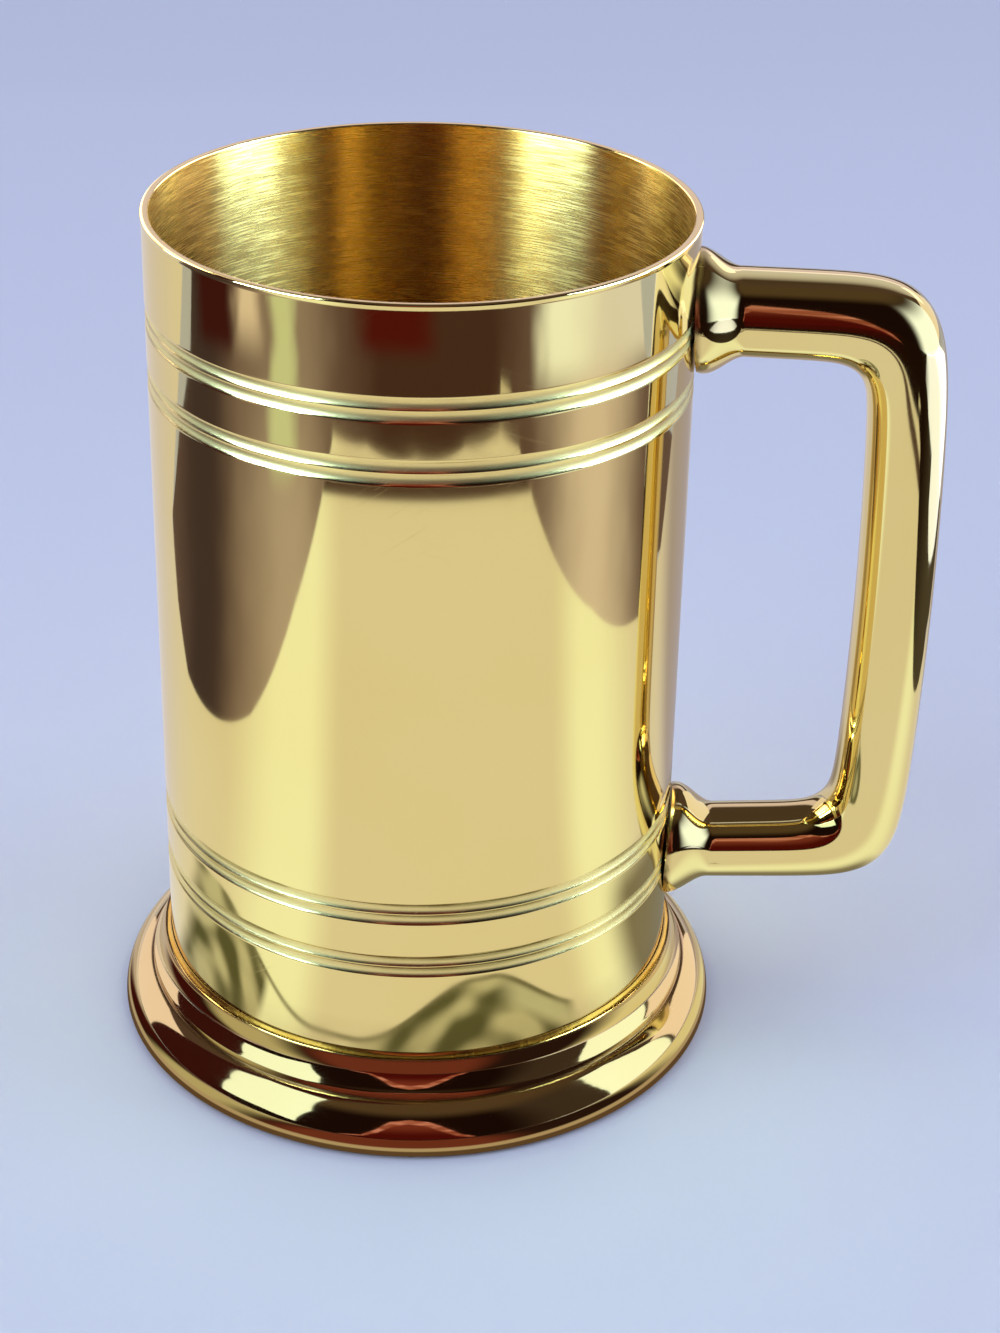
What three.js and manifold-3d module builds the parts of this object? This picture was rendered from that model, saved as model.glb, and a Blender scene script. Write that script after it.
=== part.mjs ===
// A brass tankard: a turned barrel brazed into a spun foot, closed by a pressed floor, with a cast handle
// that is screwed on from inside the cup. Millimetres, +Z up, standing on the plane z = 0, handle towards +X.
import * as THREE from "three";
import { mergeVertices } from "three/addons/utils/BufferGeometryUtils.js";
import Module from "manifold-3d";

// Fits
const GAP = 0.3; // left between pieces that sit against each other
const SOLDER_GAP = 0.1; // left round the solder ring

// Barrel
const BARREL_RADIUS = 40;
const BARREL_WALL = 1.1;
const BARREL_LENGTH = 125;
const RIM_ROUND = 0.35;
const GROOVE_WIDTH = 1.8;
const GROOVE_DEPTH = 0.27;
const UPPER_BAND_DROPS = [14.9, 24]; // from the rim down to the ridge between a band's two grooves
const LOWER_BAND_RISES = [16.2, 25.4]; // from the top of the foot up to the ridge

// Foot, from the barrel outwards and from the table upwards
const COLLAR_WALL = 0.8;
const COVE_RUN = 1.9;
const COVE_RISE = 4.8;
const COVE_HOLLOW = 0.7; // how far the cove dips below the straight line between its edges
const QUIRK_STEP = 0.4;
const QUIRK_RISE = 1.1;
const OVOLO_RADIUS = 6.9;
const OVOLO_SWEEP = 68; // degrees of arc, from the widest line of the foot up to the quirk
const BASE_ROLL = 1.1; // radius of the edge that rolls under to the table
const BASE_LIP = 3.1; // width of the flat that stands on the table
const FOOT_WALL = 1.2;
const SHOULDER_WALL = 1.2;
const SHOULDER_LEDGE = 2.6; // how far the shoulder reaches in under the floor of the cup

// Floor of the cup
const FLOOR_WALL = 1.2;
const FLOOR_FLANGE = 5;
const FLOOR_BEND = 1.4; // inside radius between the floor and its upturned flange

// Solder ring between the barrel and the collar
const SEAM_LEG = 0.6;

// Handle: arms, grip and bosses
const HANDLE_REACH = 38.1; // from the barrel to the outside of the grip
const UPPER_ARM_DROP = 14.5; // from the rim to the upper arm's axis at the barrel
const LOWER_ARM_RISE = 15.7; // from the top of the foot to the lower arm's axis at the barrel
const UPPER_ARM_FALL = 0.3; // how much lower the upper arm is at its corner
const LOWER_ARM_CLIMB = 0.7; // how much higher the lower arm is at its corner
const UPPER_ARM_THICKNESS = 12.8;
const LOWER_ARM_THICKNESS = 10.9;
const GRIP_THICKNESS = 11.7;
const HANDLE_WIDTH = 13;
const GRIP_BOW = 1.5;
const OUTER_CORNER = 10.8; // length of each leg that an outer corner rounds off
const UPPER_CORNER_DROP = 13.5; // the upper outer corner's longer leg, down the grip
const INNER_CORNER = 6.5;
const SECTION_POWER = 2.3; // of the superellipse: 2 is an ellipse, higher is squarer
const UPPER_BOSS_DIAMETER = 18.4;
const LOWER_BOSS_DIAMETER = 17.8;
const BOSS_LAND = 0.8; // length at the barrel over which a boss keeps its full round
const BOSS_FLARE = 6.6; // from the barrel to where the boss has narrowed to its arm

// Screws and washers
const SCREW_SHANK = 4;
const SCREW_REACH = 8; // into the boss, from the barrel's outside
const SCREW_HEAD = 7.6;
const SCREW_HEAD_HEIGHT = 2.4;
const SLOT_WIDTH = 1;
const SLOT_DEPTH = 1;
const WASHER_DIAMETER = 9.6;
const WASHER_THICKNESS = 1;

// Facets
const ROUND_FACETS = 60; // round the axis of the tankard
const SCREW_FACETS = 20;
const SECTION_FACETS = 24; // round a section of the handle
const FLARE_STEPS = 11;
const ARM_STEPS = 2;
const CORNER_STEPS = 7;
const GRIP_STEPS = 7;

// Sizes that follow from those above
const BORE_RADIUS = BARREL_RADIUS - BARREL_WALL;
const COLLAR_RADIUS = BARREL_RADIUS + GAP;
const COVE_TOP_RADIUS = COLLAR_RADIUS + COLLAR_WALL;
const QUIRK_RADIUS = COVE_TOP_RADIUS + COVE_RUN;
const OVOLO_TOP_RADIUS = QUIRK_RADIUS + QUIRK_STEP;
const SWEEP = THREE.MathUtils.degToRad(OVOLO_SWEEP);
const OVOLO_CENTRE = OVOLO_TOP_RADIUS - OVOLO_RADIUS * Math.cos(SWEEP);
const FOOT_RADIUS = OVOLO_CENTRE + OVOLO_RADIUS;
const QUIRK_HEIGHT = BASE_ROLL + OVOLO_RADIUS * Math.sin(SWEEP);
const FOOT_HEIGHT = QUIRK_HEIGHT + QUIRK_RISE + COVE_RISE;
const DOME_HEIGHT = BASE_ROLL + OVOLO_RADIUS - FOOT_WALL; // top of the hollow under the foot
const SHOULDER_HEIGHT = DOME_HEIGHT + SHOULDER_WALL;
const SEAT_HEIGHT = SHOULDER_HEIGHT + GAP; // lower edge of the barrel, and underside of the floor
const RIM_HEIGHT = SEAT_HEIGHT + BARREL_LENGTH;
const UPPER_ARM_HEIGHT = RIM_HEIGHT - UPPER_ARM_DROP;
const LOWER_ARM_HEIGHT = FOOT_HEIGHT + LOWER_ARM_RISE;
const GRIP_OUTSIDE = BARREL_RADIUS + HANDLE_REACH;
const SCREW_HOLE = SCREW_SHANK + 2 * GAP;
const WASHER_FACE = BORE_RADIUS - GAP - WASHER_THICKNESS;

const wasm = await Module();
wasm.setup();

// Solid and mesh geometry

function solidOf(geometry) {
  const bare = geometry.clone();
  bare.deleteAttribute("normal");
  bare.deleteAttribute("uv");
  const merged = mergeVertices(bare, 1e-4);
  const corners = merged.index.array;
  const triVerts = [];
  for (let i = 0; i < corners.length; i += 3) {
    const [a, b, c] = corners.slice(i, i + 3);
    if (a !== b && b !== c && c !== a) triVerts.push(a, b, c);
  }
  return new wasm.Manifold(
    new wasm.Mesh({
      numProp: 3,
      vertProperties: merged.attributes.position.array,
      triVerts: Uint32Array.from(triVerts),
    }),
  );
}

function geometryOf(solid) {
  const mesh = solid.getMesh();
  const geometry = new THREE.BufferGeometry();
  geometry.setAttribute("position", new THREE.BufferAttribute(mesh.vertProperties, 3));
  geometry.setIndex(new THREE.BufferAttribute(mesh.triVerts, 1));
  geometry.computeVertexNormals();
  return geometry;
}

// A ring turned about +Z from a closed path of radius and height, drawn upwards on its outside.
function turned(path, arcSteps) {
  const points = path.getPoints(arcSteps);
  points.push(points[0].clone());
  return new THREE.LatheGeometry(points, ROUND_FACETS).rotateX(Math.PI / 2);
}

// A round bar along +X from one x to another, on the handle's plane at a height.
function barAlongX(radius, from, to, height, facets) {
  const bar = new THREE.CylinderGeometry(radius, radius, to - from, facets);
  bar.rotateZ(-Math.PI / 2);
  return bar.translate((from + to) / 2, 0, height);
}

function uprightBar(radius, from, to) {
  const bar = new THREE.CylinderGeometry(radius, radius, to - from, ROUND_FACETS);
  bar.rotateX(Math.PI / 2);
  return bar.translate(0, 0, (from + to) / 2);
}

function brass(color, roughness) {
  return new THREE.MeshStandardMaterial({ color, roughness, metalness: 1 });
}

// Barrel: a tube with a softened rim, turned grooves and a screw hole for each boss.

function addGroove(path, height) {
  const half = GROOVE_WIDTH / 2;
  const radius = (half * half + GROOVE_DEPTH * GROOVE_DEPTH) / (2 * GROOVE_DEPTH);
  const spread = Math.asin(half / radius);
  const centre = BARREL_RADIUS - GROOVE_DEPTH + radius;
  path.lineTo(BARREL_RADIUS, height - half);
  path.absarc(centre, height, radius, Math.PI + spread, Math.PI - spread, true);
}

function barrelGeometry() {
  const path = new THREE.Path();
  path.moveTo(BORE_RADIUS, SEAT_HEIGHT);
  path.lineTo(BARREL_RADIUS, SEAT_HEIGHT);
  const ridges = LOWER_BAND_RISES.map((rise) => FOOT_HEIGHT + rise);
  ridges.push(...UPPER_BAND_DROPS.map((drop) => RIM_HEIGHT - drop));
  for (const ridge of ridges.sort((a, b) => a - b)) {
    addGroove(path, ridge - GROOVE_WIDTH / 2);
    addGroove(path, ridge + GROOVE_WIDTH / 2);
  }
  const roundHeight = RIM_HEIGHT - RIM_ROUND;
  path.lineTo(BARREL_RADIUS, roundHeight);
  path.absarc(BARREL_RADIUS - RIM_ROUND, roundHeight, RIM_ROUND, 0, Math.PI / 2, false);
  path.absarc(BORE_RADIUS + RIM_ROUND, roundHeight, RIM_ROUND, Math.PI / 2, Math.PI, false);
  let barrel = solidOf(turned(path, 2));
  for (const height of [UPPER_ARM_HEIGHT, LOWER_ARM_HEIGHT]) {
    const hole = barAlongX(SCREW_HOLE / 2, BORE_RADIUS / 2, GRIP_OUTSIDE, height, SCREW_FACETS);
    barrel = barrel.subtract(solidOf(hole));
  }
  return geometryOf(barrel);
}

// Foot: collar, cove, quirk and ovolo outside; a shoulder under the barrel and a hollow dome inside.

function footGeometry() {
  const coveBottom = FOOT_HEIGHT - COVE_RISE;
  const coveMiddle = new THREE.Vector2(COVE_TOP_RADIUS + COVE_RUN / 2, coveBottom + COVE_RISE / 2);
  const inwards = new THREE.Vector2(-COVE_RISE, -COVE_RUN).setLength(2 * COVE_HOLLOW);
  const coveControl = coveMiddle.add(inwards);
  const shoulderRadius = BORE_RADIUS - SHOULDER_LEDGE;
  const lipRadius = FOOT_RADIUS - BASE_ROLL - BASE_LIP;
  const path = new THREE.Path();
  path.moveTo(lipRadius, 0);
  path.lineTo(FOOT_RADIUS - BASE_ROLL, 0);
  path.absarc(FOOT_RADIUS - BASE_ROLL, BASE_ROLL, BASE_ROLL, -Math.PI / 2, 0, false);
  path.absarc(OVOLO_CENTRE, BASE_ROLL, OVOLO_RADIUS, 0, SWEEP, false);
  path.lineTo(QUIRK_RADIUS, QUIRK_HEIGHT);
  path.lineTo(QUIRK_RADIUS, coveBottom);
  path.quadraticCurveTo(coveControl.x, coveControl.y, COVE_TOP_RADIUS, FOOT_HEIGHT);
  path.lineTo(COLLAR_RADIUS, FOOT_HEIGHT);
  path.lineTo(COLLAR_RADIUS, SHOULDER_HEIGHT);
  path.lineTo(shoulderRadius, SHOULDER_HEIGHT);
  path.lineTo(shoulderRadius, DOME_HEIGHT);
  path.absarc(OVOLO_CENTRE, BASE_ROLL, OVOLO_RADIUS - FOOT_WALL, Math.PI / 2, 0, true);
  path.lineTo(lipRadius, BASE_ROLL);
  return turned(path, 3);
}

// Floor: a shallow dish whose flange stands against the bore.

function floorGeometry() {
  const outside = BORE_RADIUS - GAP;
  const inside = outside - FLOOR_WALL;
  const top = SEAT_HEIGHT + FLOOR_WALL;
  const path = new THREE.Path();
  path.moveTo(0, SEAT_HEIGHT);
  path.lineTo(outside - FLOOR_WALL, SEAT_HEIGHT);
  path.absarc(inside, top, FLOOR_WALL, -Math.PI / 2, 0, false);
  path.lineTo(outside, SEAT_HEIGHT + FLOOR_FLANGE);
  path.lineTo(inside, SEAT_HEIGHT + FLOOR_FLANGE);
  path.lineTo(inside, top + FLOOR_BEND);
  path.absarc(inside - FLOOR_BEND, top + FLOOR_BEND, FLOOR_BEND, 0, -Math.PI / 2, true);
  path.lineTo(0, top);
  return new THREE.LatheGeometry(path.getPoints(2), ROUND_FACETS).rotateX(Math.PI / 2);
}

// Solder: a hollow fillet in the corner between the barrel and the top of the collar.

function seamGeometry() {
  const inside = BARREL_RADIUS + SOLDER_GAP;
  const bottom = FOOT_HEIGHT + SOLDER_GAP;
  const path = new THREE.Path();
  path.moveTo(inside, bottom);
  path.lineTo(inside + SEAM_LEG, bottom);
  path.quadraticCurveTo(inside + SEAM_LEG / 4, bottom + SEAM_LEG / 4, inside, bottom + SEAM_LEG);
  return turned(path, 3);
}

// Handle: a loft of rounded sections between the inner and outer edges of a squared C.

// The stretches of one edge, from the upper boss round to the lower boss. Side is 1 outside, -1 inside;
// corner and drop are the legs that its corners round off, drop being the one below the upper arm.
function handleEdge(side, corner, drop) {
  const root = BARREL_RADIUS - UPPER_BOSS_DIAMETER / 4; // inside the barrel, where the saddle is cut
  const neck = BARREL_RADIUS + BOSS_FLARE;
  const grip = GRIP_OUTSIDE - GRIP_BOW - (1 - side) * (GRIP_THICKNESS / 2);
  const upper = UPPER_ARM_HEIGHT + side * (UPPER_ARM_THICKNESS / 2);
  const lower = LOWER_ARM_HEIGHT - side * (LOWER_ARM_THICKNESS / 2);
  const upperCorner = upper - UPPER_ARM_FALL;
  const lowerCorner = lower + LOWER_ARM_CLIMB;
  const path = new THREE.Path();
  path.moveTo(root, upper);
  path.lineTo(neck, upper);
  path.lineTo(grip - corner, upperCorner);
  path.quadraticCurveTo(grip, upperCorner, grip, upperCorner - drop);
  path.lineTo(grip, lowerCorner + corner);
  path.quadraticCurveTo(grip, lowerCorner, grip - corner, lowerCorner);
  path.lineTo(neck, lower);
  path.lineTo(root, lower);
  return path.curves;
}

// The grip bows outwards most halfway between the arms.
function bowed(point) {
  const half = (UPPER_ARM_HEIGHT - LOWER_ARM_HEIGHT) / 2;
  const place = (point.y - LOWER_ARM_HEIGHT - half) / half;
  return new THREE.Vector2(point.x + GRIP_BOW * (1 - place * place), point.y);
}

// One closed ring of a superellipse between an inner and an outer edge point.
function superellipse(inner, outer, width, power) {
  const middle = inner.clone().add(outer).multiplyScalar(0.5);
  const reach = outer.clone().sub(middle);
  const square = (value) => Math.sign(value) * Math.abs(value) ** (2 / power);
  return Array.from({ length: SECTION_FACETS }, (_, i) => {
    const angle = (i / SECTION_FACETS) * 2 * Math.PI;
    const along = middle.clone().addScaledVector(reach, square(Math.cos(angle)));
    return new THREE.Vector3(along.x, (width / 2) * square(Math.sin(angle)), along.y);
  });
}

// The section between two edge points, opened out into the round of its boss near the barrel.
function handleSection(inner, outer, boss) {
  const centre = inner.clone().add(outer).multiplyScalar(0.5);
  const flare = 1 - THREE.MathUtils.smoothstep(centre.x - BARREL_RADIUS, BOSS_LAND, BOSS_FLARE);
  const growth = THREE.MathUtils.lerp(1, boss / inner.distanceTo(outer), flare);
  const [low, high] = [inner, outer].map((edge) => bowed(edge.clone().lerp(centre, 1 - growth)));
  const width = THREE.MathUtils.lerp(HANDLE_WIDTH, boss, flare);
  const power = THREE.MathUtils.lerp(SECTION_POWER, 2, flare);
  return superellipse(low, high, width, power);
}

function handleRings() {
  const inner = handleEdge(-1, INNER_CORNER, INNER_CORNER);
  const outer = handleEdge(1, OUTER_CORNER, UPPER_CORNER_DROP);
  const steps = [FLARE_STEPS, ARM_STEPS, CORNER_STEPS, GRIP_STEPS, CORNER_STEPS, ARM_STEPS, FLARE_STEPS];
  const rings = [handleSection(inner[0].getPoint(0), outer[0].getPoint(0), UPPER_BOSS_DIAMETER)];
  steps.forEach((count, stretch) => {
    const boss = stretch < steps.length / 2 ? UPPER_BOSS_DIAMETER : LOWER_BOSS_DIAMETER;
    for (let i = 1; i <= count; i++) {
      const place = i / count;
      rings.push(handleSection(inner[stretch].getPoint(place), outer[stretch].getPoint(place), boss));
    }
  });
  return rings;
}

// A closed skin over a row of rings, with a fan over each end.
function loft(rings) {
  const sides = rings[0].length;
  const centreOf = (ring) => ring.reduce((sum, p) => sum.add(p), new THREE.Vector3()).divideScalar(sides);
  const points = [...rings.flat(), centreOf(rings[0]), centreOf(rings.at(-1))];
  const end = (rings.length - 1) * sides;
  const faces = [];
  for (let k = 0; k < sides; k++) {
    const next = (k + 1) % sides;
    for (let a = 0; a < end; a += sides) {
      const b = a + sides;
      faces.push(a + k, b + k, a + next, a + next, b + k, b + next);
    }
    faces.push(points.length - 2, k, next);
    faces.push(points.length - 1, end + next, end + k);
  }
  return new THREE.BufferGeometry().setFromPoints(points).setIndex(faces);
}

function handleGeometry() {
  let handle = solidOf(loft(handleRings()));
  handle = handle.subtract(solidOf(uprightBar(BARREL_RADIUS + GAP, 0, RIM_HEIGHT)));
  for (const height of [UPPER_ARM_HEIGHT, LOWER_ARM_HEIGHT]) {
    const end = BARREL_RADIUS + SCREW_REACH + GAP;
    const hole = barAlongX(SCREW_HOLE / 2, BORE_RADIUS, end, height, SCREW_FACETS);
    handle = handle.subtract(solidOf(hole));
  }
  return geometryOf(handle);
}

// Washer: flat towards the screw head, round towards the bore.

function washerGeometry(height) {
  const disc = solidOf(barAlongX(WASHER_DIAMETER / 2, WASHER_FACE, BARREL_RADIUS, height, SCREW_FACETS));
  const hole = solidOf(barAlongX(SCREW_HOLE / 2, 0, GRIP_OUTSIDE, height, SCREW_FACETS));
  const bore = solidOf(uprightBar(BORE_RADIUS - GAP, 0, RIM_HEIGHT));
  return geometryOf(disc.intersect(bore).subtract(hole));
}

// Screw: slotted round head in the cup, shank through the wall into the boss.

function screwGeometry(height) {
  const seat = WASHER_FACE - GAP;
  const top = seat - SCREW_HEAD_HEIGHT;
  const dome = new THREE.Path();
  dome.moveTo(0, -BARREL_RADIUS - SCREW_REACH);
  dome.lineTo(SCREW_SHANK / 2, -BARREL_RADIUS - SCREW_REACH);
  dome.lineTo(SCREW_SHANK / 2, -seat);
  dome.lineTo(SCREW_HEAD / 2, -seat);
  dome.absellipse(0, -seat, SCREW_HEAD / 2, SCREW_HEAD_HEIGHT, 0, Math.PI / 2, false, 0);
  const screw = new THREE.LatheGeometry(dome.getPoints(2), SCREW_FACETS);
  screw.rotateZ(Math.PI / 2).translate(0, 0, height);
  const slot = new THREE.BoxGeometry(2 * SLOT_DEPTH, SCREW_HEAD, SLOT_WIDTH).translate(top, 0, height);
  return geometryOf(solidOf(screw).subtract(solidOf(slot)));
}

// The assembly, with the middle of its footprint at the origin

const tankard = new THREE.Group();
tankard.position.x = (FOOT_RADIUS - GRIP_OUTSIDE) / 2;

function add(name, geometry, material) {
  const mesh = new THREE.Mesh(geometry, material);
  mesh.name = name;
  tankard.add(mesh);
}

const polished = { barrel: 0xdcc482, foot: 0xd6ac74, handle: 0xd9bf74 };
add("barrel", barrelGeometry(), brass(polished.barrel, 0.12));
add("foot_ring", footGeometry(), brass(polished.foot, 0.12));
add("handle", handleGeometry(), brass(polished.handle, 0.14));
add("cup_floor", floorGeometry(), brass(0xc99a3c, 0.35));
add("foot_solder_seam", seamGeometry(), brass(0xc98f2e, 0.3));
const screwHeights = { upper: UPPER_ARM_HEIGHT, lower: LOWER_ARM_HEIGHT };
for (const [place, height] of Object.entries(screwHeights)) {
  add(place + "_screw", screwGeometry(height), brass(0xcaa24f, 0.25));
  add(place + "_washer", washerGeometry(height), brass(0xc39a4a, 0.3));
}

const part = new THREE.Group();
part.add(tankard);
export default part;
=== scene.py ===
"""Looks of a polished brass tankard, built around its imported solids. Metres, +Z up, handle towards +X."""

import math

import bpy
import numpy as np
from mathutils import Matrix, Vector


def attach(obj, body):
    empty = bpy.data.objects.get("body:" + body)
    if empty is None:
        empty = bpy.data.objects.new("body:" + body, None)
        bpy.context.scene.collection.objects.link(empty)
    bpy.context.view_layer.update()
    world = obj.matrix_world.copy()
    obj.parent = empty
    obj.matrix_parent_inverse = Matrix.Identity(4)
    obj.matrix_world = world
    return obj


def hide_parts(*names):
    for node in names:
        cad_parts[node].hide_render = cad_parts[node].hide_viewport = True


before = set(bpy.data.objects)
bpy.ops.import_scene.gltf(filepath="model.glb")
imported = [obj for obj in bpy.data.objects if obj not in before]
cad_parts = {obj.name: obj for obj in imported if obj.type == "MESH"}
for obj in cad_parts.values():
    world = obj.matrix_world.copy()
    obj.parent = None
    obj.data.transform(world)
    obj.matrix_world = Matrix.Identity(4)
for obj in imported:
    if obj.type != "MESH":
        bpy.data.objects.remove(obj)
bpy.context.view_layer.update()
MM = 0.001

# Sizes of the solids, in millimetres
GAP = 0.3  # left between pieces that sit against each other
SOLDER_GAP = 0.1  # left round the solder ring
BARREL_RADIUS = 40.0
BARREL_WALL = 1.1
BARREL_LENGTH = 125.0
GROOVE_WIDTH = 1.8
GROOVE_DEPTH = 0.27
LOWER_BAND_RISES = [16.2, 25.4]  # from the top of the foot up to the ridge between a band's two grooves
UPPER_BAND_DROPS = [24.0, 14.9]  # from the rim down to the ridge
COLLAR_WALL = 0.8
COVE_RUN = 1.9
COVE_RISE = 4.8
COVE_HOLLOW = 0.7
QUIRK_STEP = 0.4
QUIRK_RISE = 1.1
QUIRK_HEIGHT = 7.5
OVOLO_RADIUS = 6.9
OVOLO_SWEEP = math.radians(68)
BASE_ROLL = 1.1
BASE_LIP = 3.1
FOOT_WALL = 1.2
SHOULDER_WALL = 1.2
SHOULDER_LEDGE = 2.6
FLOOR_WALL = 1.2
FLOOR_FLANGE = 5.0
FLOOR_BEND = 1.4
SEAM_LEG = 0.6
HANDLE_REACH = 38.1  # from the barrel to the outside of the grip
UPPER_ARM_DROP = 14.5  # from the rim to the upper arm's axis
LOWER_ARM_RISE = 15.7  # from the top of the foot to the lower arm's axis
UPPER_ARM_FALL = 0.3  # how much lower the upper arm is at its corner
LOWER_ARM_CLIMB = 0.7  # how much higher the lower arm is at its corner
UPPER_ARM_THICKNESS = 12.8
LOWER_ARM_THICKNESS = 10.9
GRIP_THICKNESS = 11.7
HANDLE_WIDTH = 13.0
GRIP_BOW = 1.5
OUTER_CORNER = 10.8
UPPER_CORNER_DROP = 13.5  # the upper outer corner's longer leg, down the grip
INNER_CORNER = 6.5
SECTION_POWER = 2.3  # of the superellipse: 2 is an ellipse, higher is squarer
UPPER_BOSS_DIAMETER = 18.4
LOWER_BOSS_DIAMETER = 17.8
BOSS_LAND = 0.8
BOSS_FLARE = 6.6
SCREW_SHANK = 4.0
SCREW_REACH = 8.0
SCREW_HEAD = 7.6
SCREW_HEAD_HEIGHT = 2.4
SLOT_WIDTH = 1.0
SLOT_DEPTH = 1.0
WASHER_DIAMETER = 9.6
WASHER_THICKNESS = 1.0

# Places that follow from those sizes
BORE_RADIUS = BARREL_RADIUS - BARREL_WALL
COLLAR_RADIUS = BARREL_RADIUS + GAP
COVE_TOP_RADIUS = COLLAR_RADIUS + COLLAR_WALL
QUIRK_RADIUS = COVE_TOP_RADIUS + COVE_RUN
OVOLO_TOP_RADIUS = QUIRK_RADIUS + QUIRK_STEP
OVOLO_CENTRE = OVOLO_TOP_RADIUS - OVOLO_RADIUS * math.cos(OVOLO_SWEEP)
FOOT_RADIUS = OVOLO_CENTRE + OVOLO_RADIUS
COVE_BOTTOM = QUIRK_HEIGHT + QUIRK_RISE
FOOT_HEIGHT = COVE_BOTTOM + COVE_RISE
SHOULDER_RADIUS = BORE_RADIUS - SHOULDER_LEDGE
SHOULDER_HEIGHT = BASE_ROLL + OVOLO_RADIUS
DOME_HEIGHT = SHOULDER_HEIGHT - SHOULDER_WALL
SEAT_HEIGHT = SHOULDER_HEIGHT + GAP
RIM_HEIGHT = SEAT_HEIGHT + BARREL_LENGTH
LOWER_BANDS = [FOOT_HEIGHT + rise for rise in LOWER_BAND_RISES]
UPPER_BANDS = [RIM_HEIGHT - drop for drop in UPPER_BAND_DROPS]
GRIP_OUTSIDE = BARREL_RADIUS + HANDLE_REACH
UPPER_ARM_HEIGHT = RIM_HEIGHT - UPPER_ARM_DROP
LOWER_ARM_HEIGHT = FOOT_HEIGHT + LOWER_ARM_RISE
SCREW_HOLE = SCREW_SHANK + 2 * GAP
WASHER_FACE = BORE_RADIUS - GAP - WASHER_THICKNESS
AXIS_X = (FOOT_RADIUS - GRIP_OUTSIDE) / 2

# The rim's lip, a fine detail that the solids leave plain
RIM_ROUND = 0.25
LIP_HEIGHT = 0.75
LIP_PROUD = 0.16

# Steps of the meshes
TURNS = 256  # round the tankard's axis
SIDES = 72  # round the handle's section
FLARE_STEPS = 26  # along a boss of the handle
ARM_STEPS = 18
CORNER_STEPS = 26
GRIP_STEPS = 56


# Mesh building

def smoothstep(low, high, value):
    t = np.clip((value - low) / (high - low), 0, 1)
    return t * t * (3 - 2 * t)


def arc(cx, cz, radius, start, end, steps):
    angles = np.linspace(start, end, steps + 1)
    return [(cx + radius * math.cos(a), cz + radius * math.sin(a)) for a in angles]


def quadratic(a, b, c, steps):
    a, b, c = (np.array(p, float) for p in (a, b, c))
    return [tuple((1 - t) ** 2 * a + 2 * t * (1 - t) * b + t * t * c) for t in np.linspace(0, 1, steps + 1)]


def softened(points, radius, steps=3):
    """A closed outline whose sharp corners are rounded off over a small leg."""
    count = len(points)
    out = []
    for i in range(count):
        before, here, after = (np.array(points[(i + k) % count], float) for k in (-1, 0, 1))
        back, on = before - here, after - here
        lengths = np.linalg.norm(back), np.linalg.norm(on)
        turn = float(back @ on) / (lengths[0] * lengths[1])
        leg = min(radius, 0.45 * lengths[0], 0.45 * lengths[1])
        if turn < -0.9 or here[0] < 1e-6:
            out.append(tuple(here))
            continue
        start = here + back / lengths[0] * leg
        end = here + on / lengths[1] * leg
        out.extend(quadratic(start, here, end, steps))
    return out


def mesh_piece(name, points, faces, sharp=40):
    """An object whose points are millimetres from the tankard's axis, set at that axis."""
    mesh = bpy.data.meshes.new(name)
    mesh.from_pydata([tuple(np.array(p) * MM) for p in points], [], faces)
    mesh.validate()
    mesh.polygons.foreach_set("use_smooth", [True] * len(mesh.polygons))
    mesh.set_sharp_from_angle(angle=math.radians(sharp))
    mesh.update()
    piece = bpy.data.objects.new(name, mesh)
    piece.location = (AXIS_X * MM, 0, 0)
    bpy.context.scene.collection.objects.link(piece)
    return piece


def turned(outline, turns=TURNS, closed=True):
    """Points and faces of an outline of radius and height turned about +Z; upwards is outside."""
    points, rows = [], []
    for radius, height in outline:
        if radius < 1e-6:
            rows.append([len(points)] * turns)
            points.append((0, 0, height))
            continue
        rows.append(list(range(len(points), len(points) + turns)))
        for j in range(turns):
            angle = 2 * math.pi * j / turns
            points.append((radius * math.cos(angle), radius * math.sin(angle), height))
    pairs = list(zip(rows, rows[1:]))
    if closed:
        pairs.append((rows[-1], rows[0]))
    faces = []
    for low, high in pairs:
        for j in range(turns):
            k = (j + 1) % turns
            face = [low[j], low[k], high[k], high[j]]
            face = [v for i, v in enumerate(face) if v != face[i - 1]]
            if len(face) > 2:
                faces.append(face)
    return points, faces


def store(piece, name, values):
    attribute = piece.data.attributes.new(name, "FLOAT", "POINT")
    attribute.data.foreach_set("value", np.asarray(values, np.float32))


def points_of(piece):
    flat = np.zeros(len(piece.data.vertices) * 3)
    piece.data.vertices.foreach_get("co", flat)
    return flat.reshape(-1, 3) / MM


def cut(piece, tools):
    """Cuts each closed tool out of a piece, and keeps the result as its mesh."""
    for tool in tools:
        modifier = piece.modifiers.new("cut", "BOOLEAN")
        modifier.operation = "DIFFERENCE"
        modifier.solver = "EXACT"
        modifier.object = tool
    bpy.context.view_layer.update()
    graph = bpy.context.evaluated_depsgraph_get()
    mesh = bpy.data.meshes.new_from_object(piece.evaluated_get(graph))
    piece.modifiers.clear()
    piece.data = mesh
    for tool in tools:
        bpy.data.objects.remove(tool)


def bar_along_x(radius, start, end, height, steps=48):
    ring = [(math.cos(2 * math.pi * i / steps), math.sin(2 * math.pi * i / steps)) for i in range(steps)]
    points = [(x, radius * c, height + radius * s) for x in (start, end) for c, s in ring]
    faces = [[i, (i + 1) % steps, steps + (i + 1) % steps, steps + i] for i in range(steps)]
    faces += [list(range(steps))[::-1], list(range(steps, 2 * steps))]
    return points, faces


# Barrel

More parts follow.
